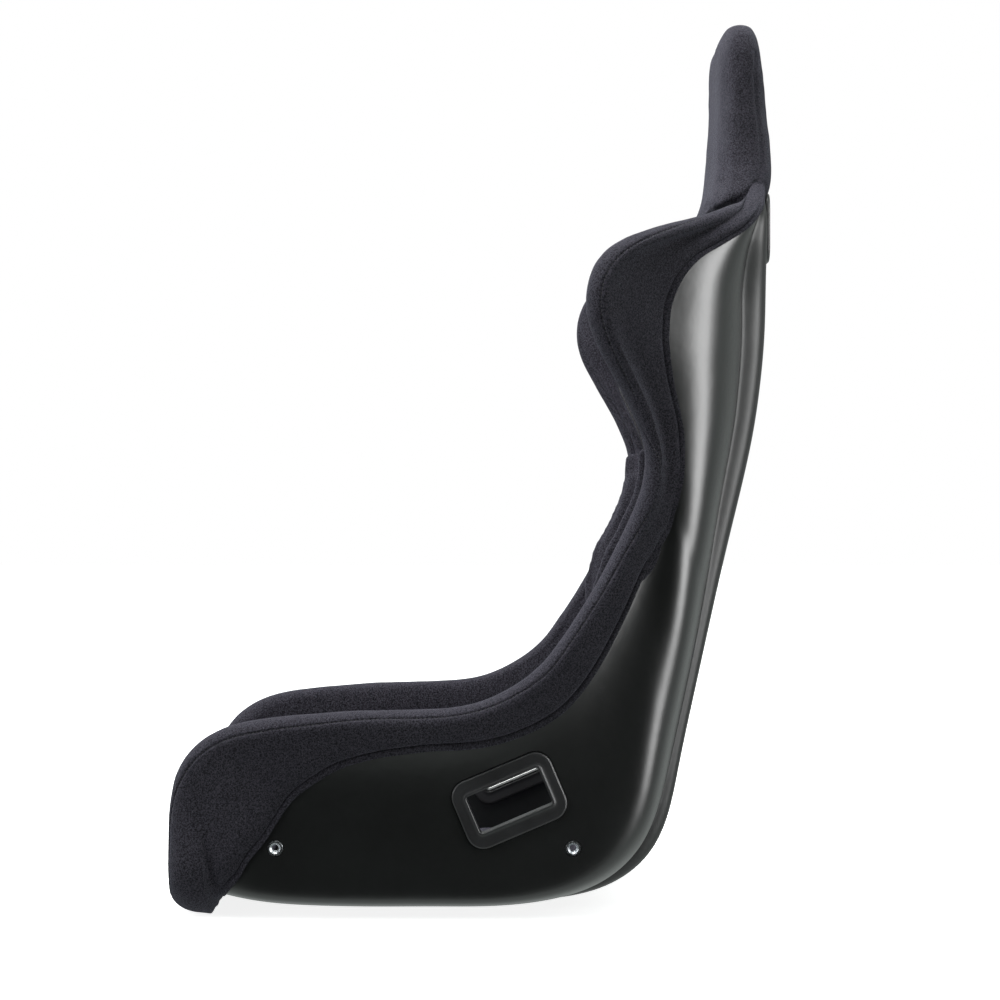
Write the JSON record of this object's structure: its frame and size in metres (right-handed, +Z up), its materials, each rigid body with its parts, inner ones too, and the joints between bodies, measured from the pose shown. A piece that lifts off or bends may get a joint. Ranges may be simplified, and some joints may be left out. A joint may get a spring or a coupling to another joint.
{
  "type": "racing seat",
  "caption": "Fixed-back bucket racing seat: one-piece shell, fabric rolls over its rim, loose cushions, belt slots and threaded side mounts.",
  "frame": {"origin": "on the seat's middle plane, on the level of its lowest point and halfway between its front and rear ends", "axes": "+Z up, the occupant faces -Y, the occupant's left is +X"},
  "size_m": [0.5536, 0.6032, 0.9015],
  "materials": {
    "gelcoat": "gloss black gelcoat on glass-fibre laminate",
    "velour": "short-pile velour, charcoal with a lighter sheen",
    "spacer_mesh": "open spacer mesh over foam",
    "foam": "open-cell polyurethane foam, dark grey",
    "moulded_black": "satin black moulding with fine grain",
    "zinc_steel": "turned and zinc-plated",
    "hook_tape": "woven hook and loop tape"
  },
  "bodies": {
    "shell_assembly": {"shell": "gelcoat", "mount_bush_front_left": "zinc_steel", "mount_bush_front_right": "zinc_steel", "mount_bush_rear_left": "zinc_steel", "mount_bush_rear_right": "zinc_steel", "lap_bezel_outer_left": "moulded_black", "lap_bezel_outer_right": "moulded_black", "lap_bezel_inner_left": "moulded_black", "lap_bezel_inner_right": "moulded_black", "shoulder_bezel_rear_left": "moulded_black", "shoulder_bezel_rear_right": "moulded_black", "shoulder_bezel_front_left": "moulded_black", "shoulder_bezel_front_right": "moulded_black", "crotch_bezel_lower": "moulded_black", "crotch_bezel_upper": "moulded_black", "nose_foam": "foam", "nose_cover": "velour", "thigh_foam_left": "foam", "thigh_foam_right": "foam", "thigh_cover_left": "velour", "thigh_cover_right": "velour", "wing_foam_left": "foam", "wing_foam_right": "foam", "wing_cover_left": "velour", "wing_cover_right": "velour", "head_foam": "foam", "head_cover": "velour", "back_panel_foam": "foam", "back_panel_mesh": "spacer_mesh", "seat_hook_strips": "hook_tape", "back_hook_strips": "hook_tape"},
    "seat_cushion": {"seat_cushion_foam": "foam", "seat_cushion_cover": "velour", "seat_loop_strips": "hook_tape"},
    "back_cushion": {"back_cushion_foam": "foam", "back_cushion_cover": "velour", "back_loop_strips": "hook_tape"}
  },
  "joints": [
    {"name": "seat_cushion_lift", "type": "slide", "parent": "shell_assembly", "child": "seat_cushion", "axis": [0, -0.2588, 0.9659], "range_m": [0, 0.04]},
    {"name": "back_cushion_pull", "type": "slide", "parent": "shell_assembly", "child": "back_cushion", "axis": [0, -0.8, 0.6], "range_m": [0, 0.09]}
  ]
}
